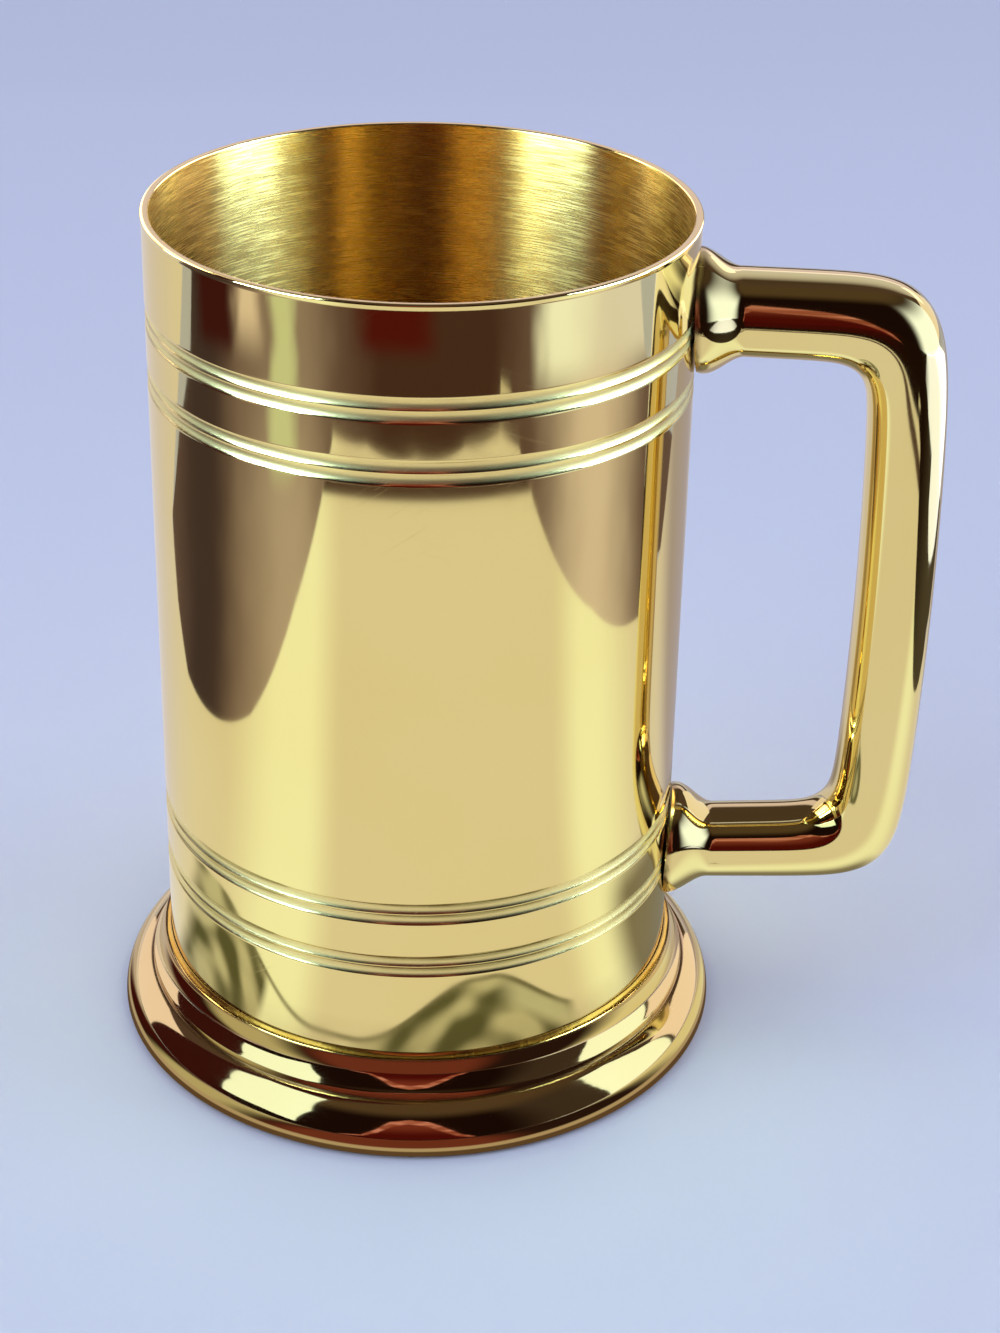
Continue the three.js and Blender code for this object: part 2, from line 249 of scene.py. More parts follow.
def groove_radius(heights):
    half = GROOVE_WIDTH / 2
    bend = (half * half + GROOVE_DEPTH * GROOVE_DEPTH) / (2 * GROOVE_DEPTH)
    dip = np.zeros_like(heights)
    for band in LOWER_BANDS + UPPER_BANDS:
        for centre in (band - half, band + half):
            away = np.clip(np.abs(heights - centre), 0, half)
            dip = np.maximum(dip, np.sqrt(bend * bend - away * away) - (bend - GROOVE_DEPTH))
    return BARREL_RADIUS - dip


def barrel_outside():
    """Outline up the outside, close-set over the bands, with the grooves' edges eased by polishing."""
    step = 0.03
    easing = 0.07
    reach = GROOVE_WIDTH + 0.5
    margin = 0.4
    kernel = np.exp(-0.5 * (np.arange(-8, 9) * step / easing) ** 2)
    eased = []
    for band in LOWER_BANDS + UPPER_BANDS:
        heights = np.arange(band - reach - margin, band + reach + margin + 0.0001, step)
        dip = np.convolve(BARREL_RADIUS - groove_radius(heights), kernel / kernel.sum(), "same")
        keep = np.abs(heights - band) <= reach
        eased += list(zip((BARREL_RADIUS - dip)[keep][::4], heights[keep][::4]))
    return eased


def make_barrel():
    top = RIM_HEIGHT - RIM_ROUND
    lip = BARREL_RADIUS + LIP_PROUD
    lip_start = RIM_HEIGHT - LIP_HEIGHT
    outline = [(BORE_RADIUS, SEAT_HEIGHT), (BARREL_RADIUS, SEAT_HEIGHT), (BARREL_RADIUS, 20)]
    outline += barrel_outside()
    outline += [(BARREL_RADIUS, lip_start - 0.2)]
    bend = (BARREL_RADIUS + 0.3 * LIP_PROUD, top - 0.3)
    outline += quadratic((BARREL_RADIUS, lip_start), bend, (lip, top), 6)
    outline += arc(lip - RIM_ROUND, top, RIM_ROUND, 0, math.pi / 2, 6)[1:]
    outline += arc(BORE_RADIUS + RIM_ROUND, top, RIM_ROUND, math.pi / 2, math.pi, 6)
    by_upper_hole = np.linspace(128, 112, 17)
    between_holes = np.linspace(108, 40, 18)
    by_lower_hole = np.linspace(36, 22, 15)
    outline += [(BORE_RADIUS, z) for z in (*by_upper_hole, *between_holes, *by_lower_hole, 12)]
    piece = mesh_piece("barrel_shell", *turned(outline))
    tools = []
    for height in (UPPER_ARM_HEIGHT, LOWER_ARM_HEIGHT):
        bar = bar_along_x(SCREW_HOLE / 2, BORE_RADIUS / 2, GRIP_OUTSIDE, height)
        tools.append(mesh_piece("hole", *bar))
    cut(piece, tools)
    co = points_of(piece)
    radius = np.hypot(co[:, 0], co[:, 1])
    dip = np.clip((BARREL_RADIUS - radius) / GROOVE_DEPTH, 0, 1) * (radius > BARREL_RADIUS - 0.3)
    dip *= co[:, 2] < RIM_HEIGHT - 2
    foot = 1 - smoothstep(FOOT_HEIGHT + 0.6, FOOT_HEIGHT + 2.2, co[:, 2])
    # Brown in the grooves and at the bottom of the barrel by the foot: part deposit, part painted shade in
    # the joint.
    store(piece, "dirt_and_shade", np.clip(0.28 * dip + 0.6 * foot, 0, 1))
    store(piece, "turned", dip)
    return piece


# Foot

def make_foot():
    middle = np.array([(COVE_TOP_RADIUS + QUIRK_RADIUS) / 2, (COVE_BOTTOM + FOOT_HEIGHT) / 2])
    inwards = np.array([COVE_BOTTOM - FOOT_HEIGHT, COVE_TOP_RADIUS - QUIRK_RADIUS])
    control = middle + inwards / np.linalg.norm(inwards) * 2 * COVE_HOLLOW
    lip = FOOT_RADIUS - BASE_ROLL - BASE_LIP
    outline = [(lip, 0), (lip + BASE_LIP / 2, 0)]
    outline += arc(FOOT_RADIUS - BASE_ROLL, BASE_ROLL, BASE_ROLL, -math.pi / 2, 0, 10)
    outline += arc(OVOLO_CENTRE, BASE_ROLL, OVOLO_RADIUS, 0, OVOLO_SWEEP, 26)[1:]
    outline += [(QUIRK_RADIUS, QUIRK_HEIGHT)]
    outline += quadratic((QUIRK_RADIUS, COVE_BOTTOM), control, (COVE_TOP_RADIUS, FOOT_HEIGHT), 18)
    outline += [(COLLAR_RADIUS, FOOT_HEIGHT), (COLLAR_RADIUS, SHOULDER_HEIGHT)]
    outline += [(SHOULDER_RADIUS, SHOULDER_HEIGHT), (SHOULDER_RADIUS, DOME_HEIGHT)]
    outline += arc(OVOLO_CENTRE, BASE_ROLL, OVOLO_RADIUS - FOOT_WALL, math.pi / 2, 0, 14)
    outline += [(lip, BASE_ROLL)]
    piece = mesh_piece("foot_spun", *turned(softened(outline, 0.22)))
    co = points_of(piece)
    radius = np.hypot(co[:, 0], co[:, 1])
    quirk = np.exp(-(((co[:, 2] - QUIRK_HEIGHT - 0.2) / 0.45) ** 2)) * (np.abs(radius - QUIRK_RADIUS) < 0.6)
    seam = smoothstep(FOOT_HEIGHT - 0.5, FOOT_HEIGHT, co[:, 2])
    under = (co[:, 2] < DOME_HEIGHT + 0.1) * (radius < OVOLO_CENTRE + OVOLO_RADIUS - FOOT_WALL + 0.05)
    under = under * (np.hypot(radius - OVOLO_CENTRE, co[:, 2] - BASE_ROLL) < OVOLO_RADIUS - FOOT_WALL / 2)
    # Brown in the quirk, at the top edge against the barrel and inside under the dome: part deposit, part
    # painted shade.
    store(piece, "dirt_and_shade", np.clip(0.9 * quirk + 0.8 * seam + 0.45 * under, 0, 1))
    return piece


# Floor of the cup, and the solder ring

def make_floor():
    outside = BORE_RADIUS - GAP
    inside = outside - FLOOR_WALL
    top = SEAT_HEIGHT + FLOOR_WALL
    outline = [(0, SEAT_HEIGHT), (12, SEAT_HEIGHT), (26, SEAT_HEIGHT)]
    outline += arc(inside, top, FLOOR_WALL, -math.pi / 2, 0, 8)
    outline += [(outside, SEAT_HEIGHT + FLOOR_FLANGE), (inside, SEAT_HEIGHT + FLOOR_FLANGE)]
    outline += arc(inside - FLOOR_BEND, top + FLOOR_BEND, FLOOR_BEND, 0, -math.pi / 2, 8)
    outline += [(30, top), (18, top), (0, top)]
    piece = mesh_piece("cup_floor_dish", *turned(outline, closed=False))
    co = points_of(piece)
    radius = np.hypot(co[:, 0], co[:, 1])
    # Brown towards the rim where the floor turns up against the bore: part deposit, part painted shade.
    store(piece, "dirt_and_shade", smoothstep(inside - 3, inside, radius) * 0.8)
    return piece


def make_solder():
    inside = BARREL_RADIUS + SOLDER_GAP
    bottom = FOOT_HEIGHT + SOLDER_GAP
    outline = [(inside, bottom)]
    hollow = (inside + SEAM_LEG / 4, bottom + SEAM_LEG / 4)
    outline += quadratic((inside + SEAM_LEG, bottom), hollow, (inside, bottom + SEAM_LEG), 8)
    points, faces = turned(outline)
    wiped = []
    for x, y, z in points:
        angle = math.atan2(y, x)
        waves = 0.06 * math.sin(7 * angle + 0.8) + 0.05 * math.sin(17 * angle)
        waves += 0.04 * math.sin(41 * angle + 2)
        spread = min(1 + waves, 1.1)
        radius = math.hypot(x, y)
        grown = inside + (radius - inside) * spread
        wiped.append((x * grown / radius, y * grown / radius, bottom + (z - bottom) * spread))
    piece = mesh_piece("solder_bead", wiped, faces)
    store(piece, "dirt_and_shade", np.zeros(len(piece.data.vertices)))
    return piece


# Handle

def handle_edge(side, corner, drop):
    """Points along one edge of the handle, as seven stretches from the upper boss to the lower one."""
    root = BARREL_RADIUS + GAP
    neck = BARREL_RADIUS + BOSS_FLARE
    grip = GRIP_OUTSIDE - GRIP_BOW - (1 - side) * GRIP_THICKNESS / 2
    upper = UPPER_ARM_HEIGHT + side * UPPER_ARM_THICKNESS / 2
    lower = LOWER_ARM_HEIGHT - side * LOWER_ARM_THICKNESS / 2
    high, low = upper - UPPER_ARM_FALL, lower + LOWER_ARM_CLIMB

    def line(a, b, steps):
        return [tuple(np.array(a) * (1 - t) + np.array(b) * t) for t in np.linspace(0, 1, steps + 1)]

    path = line((root, upper), (neck, upper), FLARE_STEPS)
    path += line((neck, upper), (grip - corner, high), ARM_STEPS)[1:]
    path += quadratic((grip - corner, high), (grip, high), (grip, high - drop), CORNER_STEPS)[1:]
    path += line((grip, high - drop), (grip, low + corner), GRIP_STEPS)[1:]
    path += quadratic((grip, low + corner), (grip, low), (grip - corner, low), CORNER_STEPS)[1:]
    path += line((grip - corner, low), (neck, lower), ARM_STEPS)[1:]
    path += line((neck, lower), (root, lower), FLARE_STEPS)[1:]
    return np.array(path)


def eased_path(path, passes):
    """Evens out the change of bend between stretches; the bosses stay as they are."""
    out = path.copy()
    kept = FLARE_STEPS + 4
    for _ in range(passes):
        out[kept:-kept] += 0.25 * (out[kept - 1:-kept - 1] - 2 * out[kept:-kept] + out[kept + 1:-kept + 1])
    return out


def handle_rings():
    inner = eased_path(handle_edge(-1, INNER_CORNER, INNER_CORNER), 40)
    outer = eased_path(handle_edge(1, OUTER_CORNER, UPPER_CORNER_DROP), 60)
    half = (UPPER_ARM_HEIGHT - LOWER_ARM_HEIGHT) / 2

    def bowed(point):
        place = (point[1] - LOWER_ARM_HEIGHT - half) / half
        return np.array([point[0] + GRIP_BOW * (1 - place * place), point[1]])

    angles = np.arange(SIDES) * 2 * math.pi / SIDES
    rings = []
    for i, (low, high) in enumerate(zip(inner, outer)):
        boss = UPPER_BOSS_DIAMETER if i < len(inner) / 2 else LOWER_BOSS_DIAMETER
        centre = (low + high) / 2
        flare = 1 - smoothstep(BOSS_LAND, BOSS_FLARE, centre[0] - BARREL_RADIUS)
        growth = 1 + flare * (boss / np.linalg.norm(high - low) - 1)
        a, b = bowed(centre + (low - centre) * growth), bowed(centre + (high - centre) * growth)
        width = HANDLE_WIDTH + flare * (boss - HANDLE_WIDTH)
        power = SECTION_POWER + flare * (2 - SECTION_POWER)
        cos, sin = np.cos(angles), np.sin(angles)
        along = np.sign(cos) * np.abs(cos) ** (2 / power)
        across = np.sign(sin) * np.abs(sin) ** (2 / power)
        middle, reach = (a + b) / 2, (b - a) / 2
        ring = np.stack([middle[0] + reach[0] * along, width / 2 * across, middle[1] + reach[1] * along], 1)
        saddle = np.sqrt((BARREL_RADIUS + GAP) ** 2 - ring[:, 1] ** 2) - (BARREL_RADIUS + GAP)
        ring[:, 0] += saddle * flare
        rings.append(ring)
    return rings


def seat_rings(ring, height):
    """From a boss's edge, which is drawn back a little, over its saddle face and down its screw hole."""
    seat = BARREL_RADIUS + GAP
    inset = 0.985
    middle = np.array([0, height])
    flat = ring[:, 1:] - middle
    hole = flat / np.linalg.norm(flat, axis=1)[:, None] * SCREW_HOLE / 2
    ring[:, 0] += 0.12
    out = []
    for t in (0.0, 0.35, 0.7, 1.0):
        face = np.zeros_like(ring)
        face[:, 1:] = middle + flat * (1 - t) * inset + hole * t
        face[:, 0] = np.sqrt(seat**2 - face[:, 1] ** 2)
        out.append(face)
    for x in (seat + 0.4, BARREL_RADIUS + SCREW_REACH + GAP):
        wall = out[-1].copy()
        wall[:, 0] = x
        out.append(wall)
    return out


def make_handle():
    rings = handle_rings()
    upper = seat_rings(rings[0], UPPER_ARM_HEIGHT)
    lower = seat_rings(rings[-1], LOWER_ARM_HEIGHT)
    rows = upper[::-1] + rings + lower
    points = np.concatenate(rows)
    faces = []
    for r in range(len(rows) - 1):
        for k in range(SIDES):
            n = (k + 1) % SIDES
            faces.append([r * SIDES + k, (r + 1) * SIDES + k, (r + 1) * SIDES + n, r * SIDES + n])
    last = (len(rows) - 1) * SIDES
    faces.append(list(range(SIDES)))
    faces.append([last + k for k in range(SIDES)][::-1])
    piece = mesh_piece("handle_casting", points, faces, sharp=50)
    co = points_of(piece)
    reach = co[:, 0] - np.sqrt(np.maximum((BARREL_RADIUS + GAP) ** 2 - co[:, 1] ** 2, 0))
    # Brown at the roots of the bosses against the barrel: part deposit, part painted shade in the joint.
    store(piece, "dirt_and_shade", 1 - smoothstep(0.1, 1.3, reach))
    return piece


# Washers and screws, inside the cup

def make_washer(name, height):
    radius, hole = WASHER_DIAMETER / 2, SCREW_HOLE / 2
    steps = 56
    seat = BORE_RADIUS - GAP
    rows = [(hole, WASHER_FACE + 0.12), (hole + 0.15, WASHER_FACE), (radius - 0.2, WASHER_FACE)]
    rows += [(radius, WASHER_FACE + 0.22)]
    rows += [(r, None) for r in (radius, radius * 0.75, hole)]  # these follow the bore
    points, faces = [], []
    for r, x in rows:
        for k in range(steps):
            angle = 2 * math.pi * k / steps
            y, z = r * math.cos(angle), r * math.sin(angle)
            points.append((math.sqrt(seat**2 - y * y) if x is None else x, y, height + z))
    for i in range(len(rows)):
        j = (i + 1) % len(rows)
        for k in range(steps):
            n = (k + 1) % steps
            faces.append([i * steps + k, j * steps + k, j * steps + n, i * steps + n])
    piece = mesh_piece(name, points, faces)
    co = points_of(piece)
    away = np.hypot(co[:, 1], co[:, 2] - height)
    by_hole = 1 - smoothstep(hole, hole + 0.8, away)
    by_edge = smoothstep(radius - 0.4, radius, away)
    # Brown by the hole and at the edge: part deposit, part painted shade.
    store(piece, "dirt_and_shade", 0.5 * by_hole + 0.4 * by_edge)
    return piece


def make_screw(name, height):
    seat = WASHER_FACE - GAP
    tip = BARREL_RADIUS + SCREW_REACH
    head = SCREW_HEAD / 2
    shank = SCREW_SHANK / 2
    outline = [(0, -tip), (shank - 0.5, -tip), (shank, -tip + 0.5), (shank, -seat)]
    outline += [(head - 0.2, -seat), (head, -seat + 0.15)]
    for angle in np.linspace(0.08, math.pi / 2, 14):
        outline.append((head * math.cos(angle), -seat + SCREW_HEAD_HEIGHT * math.sin(angle)))
    outline[-1] = (0, outline[-1][1])
    points, faces = turned(outline, turns=56, closed=False)
    points = [(-z, y, height + x) for x, y, z in points]
    piece = mesh_piece(name, points, faces)
    top = seat - SCREW_HEAD_HEIGHT
    depths = (top - SLOT_DEPTH, top + SLOT_DEPTH)
    ends = (-head - 1, head + 1)
    walls = (height - SLOT_WIDTH / 2, height + SLOT_WIDTH / 2)
    corners = [(x, y, z) for x in depths for y in ends for z in walls]
    sides = [[0, 1, 3, 2], [4, 6, 7, 5], [0, 4, 5, 1], [2, 3, 7, 6], [0, 2, 6, 4], [1, 5, 7, 3]]
    cut(piece, [mesh_piece("slot", corners, sides)])
    co = points_of(piece)
    # Brown in the slot: part deposit, part painted shade.
    store(piece, "dirt_and_shade", (np.abs(co[:, 2] - height) < SLOT_WIDTH * 0.55) * (co[:, 0] > top + 0.3) * 0.7)
    return piece


# Materials

class Nodes:
    """Short hand for building a material's nodes."""

    def __init__(self, name):
        self.material = bpy.data.materials.new(name)
        self.material.use_nodes = True
        self.tree = self.material.node_tree
        self.shader = self.tree.nodes["Principled BSDF"]

    def link(self, value, socket):
        if isinstance(value, bpy.types.NodeSocket):
            self.tree.links.new(value, socket)
        else:
            socket.default_value = value

    def add(self, kind, out=0, **inputs):
        """A new node's output. Keys: set_ and a setting, i and an input's number, or an input's name."""
        node = self.tree.nodes.new(kind)
        for key, value in inputs.items():
            if key.startswith("set_"):
                setattr(node, key[4:], value)
            elif key[0] == "i" and key[1:].isdigit():
                self.link(value, node.inputs[int(key[1:])])
            else:
                self.link(value, node.inputs[key])
        return node.outputs[out]

    def math(self, operation, a, b=0.0):
        return self.add("ShaderNodeMath", set_operation=operation, i0=a, i1=b)

    def plus(self, a, b):
        return self.math("ADD", a, b)

    def times(self, a, b):
        return self.math("MULTIPLY", a, b)

    def length(self, x, y):
        return self.math("SQRT", self.plus(self.times(x, x), self.times(y, y)))

    def ramp(self, value, low, high, to_low=0.0, to_high=1.0):
        return self.add("ShaderNodeMapRange", set_interpolation_type="SMOOTHSTEP",
                        i0=value, i1=low, i2=high, i3=to_low, i4=to_high)

    def noise(self, vector, scale, detail=2.0, rough=0.5):
        return self.add("ShaderNodeTexNoise", Vector=vector, Scale=scale, Detail=detail, Roughness=rough)

    def attribute(self, name):
        return self.add("ShaderNodeAttribute", out=2, set_attribute_name=name)

    def mix(self, share, a, b, blend="MIX"):
        return self.add("ShaderNodeMix", out=2, set_data_type="RGBA", set_blend_type=blend,
                        i0=share, i6=a, i7=b)

    def vector(self, x, y, z):
        return self.add("ShaderNodeCombineXYZ", X=x, Y=y, Z=z)

    def position(self):
        """The place on the object itself, in metres."""
        return self.add("ShaderNodeTexCoord", out=3)

    def split(self, vector):
        node = self.tree.nodes.new("ShaderNodeSeparateXYZ")
        self.link(vector, node.inputs[0])
        return node.outputs

    def around(self, position):
        """Arc along the barrel's wall, height and radius, in metres."""
        x, y, z = self.split(position)
        arc_length = self.times(self.math("ARCTAN2", y, x), BARREL_RADIUS * MM)
        return arc_length, z, self.length(x, y)


def hairlines(n, along, across, slant, length, width, seed, sparse):
    """Fine scratches: long in one direction, thin in the other. 1 on a scratch, 0 off it."""
    u = n.plus(n.times(along, math.cos(slant)), n.times(across, math.sin(slant)))
    v = n.math("SUBTRACT", n.times(across, math.cos(slant)), n.times(along, math.sin(slant)))
    spot = n.vector(n.times(u, 1.0 / length), n.times(v, 1.0 / width), seed)
    return n.ramp(n.noise(spot, 1.0, 0.0), sparse, sparse + 0.08)


def polished(name, base, deep, roughness, scratch):
    """Buffed brass: a mirror with faint smears and hairline scratches, and a brown deposit with painted
    shade in its corners.
    """
    n = Nodes(name)
    position = n.position()
    along, height, _ = n.around(position)
    drift = n.ramp(n.noise(position, 28.0, 3.0), 0.3, 0.7)
    smear = n.ramp(n.noise(n.vector(along, height, 0.0), 55.0, 4.0, 0.6), 0.48, 0.72)
    scratches = n.math("MAXIMUM", hairlines(n, along, height, 0.62, 0.016, 0.00013, 7.0, 0.74),
                       hairlines(n, along, height, -0.4, 0.02, 0.00012, 11.0, 0.76))
    worn = n.ramp(n.noise(position, 45.0, 2.0), 0.42, 0.66)
    scratches = n.times(scratches, n.times(worn, scratch))
    dirt_and_shade = n.attribute("dirt_and_shade")
    turned_in = n.attribute("turned")
    # Brown and rougher in the hollows and joints the pieces mark: part deposit, part painted shade.
    film_and_shade = n.times(dirt_and_shade, n.ramp(n.noise(position, 180.0, 3.0), 0.25, 0.7, 0.55, 1.0))
    color = n.mix(drift, (*base, 1), (*deep, 1))
    color = n.mix(n.times(film_and_shade, 0.75), color, (0.20, 0.085, 0.03, 1))
    n.link(color, n.shader.inputs["Base Color"])
    rough = n.plus(n.times(smear, 0.03), roughness)
    rough = n.math("MAXIMUM", rough, scratches)
    rough = n.plus(rough, n.times(turned_in, 0.28))
    rough = n.plus(rough, n.times(film_and_shade, 0.2))
    n.link(rough, n.shader.inputs["Roughness"])
    swell = n.noise(n.vector(n.times(along, 0.35), height, 0.0), 60.0, 2.0)
    bump = n.add("ShaderNodeBump", Strength=1.0, Distance=0.000003, Height=swell)
    n.link(bump, n.shader.inputs["Normal"])
    n.shader.inputs["Metallic"].default_value = 1.0
    return n.material


def brushed(name, base, deep, roughness, rings_from_radius=False):
    """Satin brass with lathe marks running round the axis, which draw its highlights out across them."""
    n = Nodes(name)
    position = n.position()
    along, height, radius = n.around(position)
    across = radius if rings_from_radius else height
    fine = n.noise(n.vector(n.times(along, 170.0), n.times(across, 4600.0), 0.0), 1.0, 3.0)
    broad = n.noise(n.vector(n.times(along, 40.0), n.times(across, 900.0), 4.0), 1.0, 2.0)
    marks = n.ramp(n.plus(n.times(fine, 0.8), n.times(broad, 0.2)), 0.32, 0.68)
    dirt_and_shade = n.attribute("dirt_and_shade")
    color = n.mix(marks, (*deep, 1), (*base, 1))
    # Browner in the hollows and joints the pieces mark: part deposit, part painted shade.
    color = n.mix(n.times(dirt_and_shade, 0.5), color, (0.18, 0.08, 0.03, 1))
    n.link(color, n.shader.inputs["Base Color"])
    n.link(n.plus(n.times(marks, 0.09), roughness), n.shader.inputs["Roughness"])
    bump = n.add("ShaderNodeBump", Strength=1.0, Distance=0.000003, Height=marks)
    n.link(bump, n.shader.inputs["Normal"])
    tangent = n.add("ShaderNodeTangent", set_direction_type="RADIAL", set_axis="Z")
    n.link(tangent, n.shader.inputs["Tangent"])
    n.shader.inputs["Metallic"].default_value = 1.0
    n.shader.inputs["Anisotropic"].default_value = 0.95
    n.shader.inputs["Anisotropic Rotation"].default_value = 0.25
    return n.material


def dulled(name, base, deep, roughness, grain):
    """Handled brass that is no longer bright: mottled colour, fine pits, and a brown deposit with painted
    shade in its corners.
    """
    n = Nodes(name)
    position = n.position()
    mottle = n.ramp(n.noise(position, grain, 4.0, 0.6), 0.3, 0.7)
    dirt_and_shade = n.attribute("dirt_and_shade")
    color = n.mix(mottle, (*base, 1), (*deep, 1))
    # Browner in the hollows and joints the pieces mark: part deposit, part painted shade.
    color = n.mix(n.times(dirt_and_shade, 0.8), color, (0.12, 0.05, 0.02, 1))
    n.link(color, n.shader.inputs["Base Color"])
    n.link(n.plus(n.times(mottle, 0.12), roughness), n.shader.inputs["Roughness"])
    bump = n.add("ShaderNodeBump", Strength=1.0, Distance=0.00003, Height=n.noise(position, grain * 6, 3.0))
    n.link(bump, n.shader.inputs["Normal"])
    n.shader.inputs["Metallic"].default_value = 1.0
    return n.material


barrel_bright = polished("barrel_polished", (0.87, 0.715, 0.325), (0.86, 0.69, 0.30), 0.045, 0.16)
# The bore's brass is darker and more orange than the outside's, partly painted shade of the inside of the
# cup.
barrel_satin = brushed("bore_satin", (0.67, 0.46, 0.155), (0.57, 0.365, 0.105), 0.21)
foot_bright = polished("foot_polished", (0.88, 0.68, 0.36), (0.85, 0.63, 0.31), 0.055, 0.13)
handle_bright = polished("handle_polished", (0.83, 0.68, 0.32), (0.82, 0.66, 0.29), 0.05, 0.13)
floor_satin = brushed("floor_satin", (0.84, 0.60, 0.20), (0.72, 0.49, 0.13), 0.24, rings_from_radius=True)
solder_wiped = dulled("solder_wiped", (0.94, 0.60, 0.12), (0.88, 0.48, 0.08), 0.18, 130.0)
screw_dull = dulled("screw_dulled", (0.82, 0.63, 0.27), (0.70, 0.50, 0.18), 0.2, 300.0)
washer_dull = dulled("washer_dulled", (0.80, 0.60, 0.25), (0.68, 0.48, 0.17), 0.24, 260.0)


# The pieces, each in place of its solid

pieces = {}


def finish_piece(piece, node, slot, *materials):
    pieces[node] = piece
    for material in materials:
        piece.data.materials.append(material)
    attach(piece, "root")
    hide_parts(node)


def paint_bore(piece):
    """The wall of the bore is satin; everything outside the rim's inner edge is bright."""
    for face in piece.data.polygons:
        centre = face.center / MM
        radius = math.hypot(centre.x, centre.y)
        face.material_index = int(radius < BORE_RADIUS + 0.02)


finish_piece(make_barrel(), "barrel", "barrel_brass", barrel_bright, barrel_satin)
paint_bore(pieces["barrel"])
finish_piece(make_foot(), "foot_ring", "foot_brass", foot_bright)
finish_piece(make_handle(), "handle", "handle_brass", handle_bright)
finish_piece(make_floor(), "cup_floor", "floor_brass", floor_satin)
finish_piece(make_solder(), "foot_solder_seam", "solder", solder_wiped)
for end, height in (("upper", UPPER_ARM_HEIGHT), ("lower", LOWER_ARM_HEIGHT)):
    screw, washer = end + "_screw", end + "_washer"
    finish_piece(make_screw(screw + "_turned", height), screw, "screw_brass", screw_dull)
    finish_piece(make_washer(washer + "_pressed", height), washer, "washer_brass", washer_dull)


# Studio: a pale floor, soft lamps, and flags and cards that only the metal sees

SWING = math.radians(1.4)  # how far the handle turns towards the camera
FITTINGS = ("upper_screw", "upper_washer", "lower_screw", "lower_washer")
CUP = ("barrel", "cup_floor", *FITTINGS)


def group(name, *nodes):
    """The visual pieces of the given nodes, for a lamp or a card to light alone."""
    chosen = bpy.data.collections.new(name)
    for node in nodes:
        chosen.objects.link(pieces[node])
    return chosen


cup = group("cup", *CUP)
beside_handle = group("beside_handle", "foot_ring", "foot_solder_seam", *CUP)
above_foot = group("above_foot", "handle", "foot_solder_seam", *CUP)
handle_only = group("handle_only", "handle")
foot_only = group("foot_only", "foot_ring")


def seen_from_camera(x, y):
    """A place on the floor, from millimetres right of and behind the axis as the camera sees it."""
    return (AXIS_X * MM + (x * math.cos(SWING) - y * math.sin(SWING)) * MM,
            (x * math.sin(SWING) + y * math.cos(SWING)) * MM)


def stage_mesh(name, points, faces, material):
    mesh = bpy.data.meshes.new(name)
    mesh.from_pydata(points, [], faces)
    mesh.materials.append(material)
    thing = bpy.data.objects.new(name, mesh)
    bpy.context.scene.collection.objects.link(thing)
    return thing


def mirrored(name, points, faces, material, lit):
    """A surface that only the metal sees, and only the lit pieces of it where those are given."""
    thing = stage_mesh(name, points, faces, material)
    thing.visible_camera = False
    thing.visible_diffuse = False
    thing.visible_shadow = False
    if lit:
        thing.light_linking.receiver_collection = lit


def card(name, corners, height, material, lit=None):
    """A card that lies over the floor, from places to the right of the axis and behind it."""
    points = [(*seen_from_camera(x, y), height * MM) for x, y in corners]
    mirrored(name, points, [list(range(len(corners)))], material, lit)


def upright_card(name, corners, y, material, lit=None):
    """A card that stands across the view, from places to the right of the axis and heights."""
    points = [(*seen_from_camera(x, y), z * MM) for x, z in corners]
    mirrored(name, points, [list(range(len(corners)))], material, lit)


def on_ball(radius, side, rise):
    """A place on a ball round the tankard, from degrees off the camera's side and above the floor."""
    side, rise = math.radians(side), math.radians(rise)
    level = radius / MM * math.cos(rise)
    x, y = seen_from_camera(level * math.sin(side), -level * math.cos(side))
    return x, y, radius * math.sin(rise)


def ball_patch(name, left, right, bottom, top, radius, material):
    """A patch of a ball round the tankard, between two directions and two heights in degrees."""
    steps = 24
    points, faces = [], []
    for i in range(steps + 1):
        for j in range(steps + 1):
            side = left + (right - left) * j / steps
            points.append(on_ball(radius, side, bottom + (top - bottom) * i / steps))
    for i in range(steps):
        for j in range(steps):
            a = i * (steps + 1) + j
            faces.append([a, a + 1, a + steps + 2, a + steps + 1])
    mirrored(name, points, faces, material, None)


def pane(name, middle, corners, radius, material, lit=None):
    """A many-sided pane with its middle and corners on a ball round the tankard."""
    points = [on_ball(radius, *spot) for spot in (middle, *corners)]
    count = len(corners)
    faces = [[0, i + 1, (i + 1) % count + 1] for i in range(count)]
    mirrored(name, points, faces, material, lit)


# Materials of the studio

def glow(n, color):
    """Makes a material's surface give off a colour."""
    n.tree.nodes.remove(n.shader)
    shine = n.add("ShaderNodeEmission", Color=color, Strength=1.0)
    n.link(shine, n.tree.nodes["Material Output"].inputs[0])
    return n.material


def glow_over(n, color):
    """Makes a material's surface give off a colour over what is seen through it."""
    n.tree.nodes.remove(n.shader)
    shine = n.add("ShaderNodeEmission", Color=color, Strength=1.0)
    both = n.add("ShaderNodeAddShader", i0=shine, i1=n.add("ShaderNodeBsdfTransparent"))
    n.link(both, n.tree.nodes["Material Output"].inputs[0])
    return n.material


def glowing(name, color):
    return glow(Nodes(name), (*color, 1))


def from_axis(n):
    """Direction from the camera's side in degrees, and distance from the axis in metres, on the floor."""
    x, y, _ = n.split(n.position())
    x = n.math("SUBTRACT", x, AXIS_X * MM)
    side = n.times(n.math("ARCTAN2", x, n.times(y, -1.0)), math.degrees(1))
    return side, n.length(x, y)


def height_of(n):
    return n.split(n.position())[2]


def streak(n, side, start, full, wane, end):
    """1 between two directions from the axis, fading to 0 on either side of them."""
    return n.times(n.ramp(side, start, full), n.ramp(side, wane, end, 1.0, 0.0))


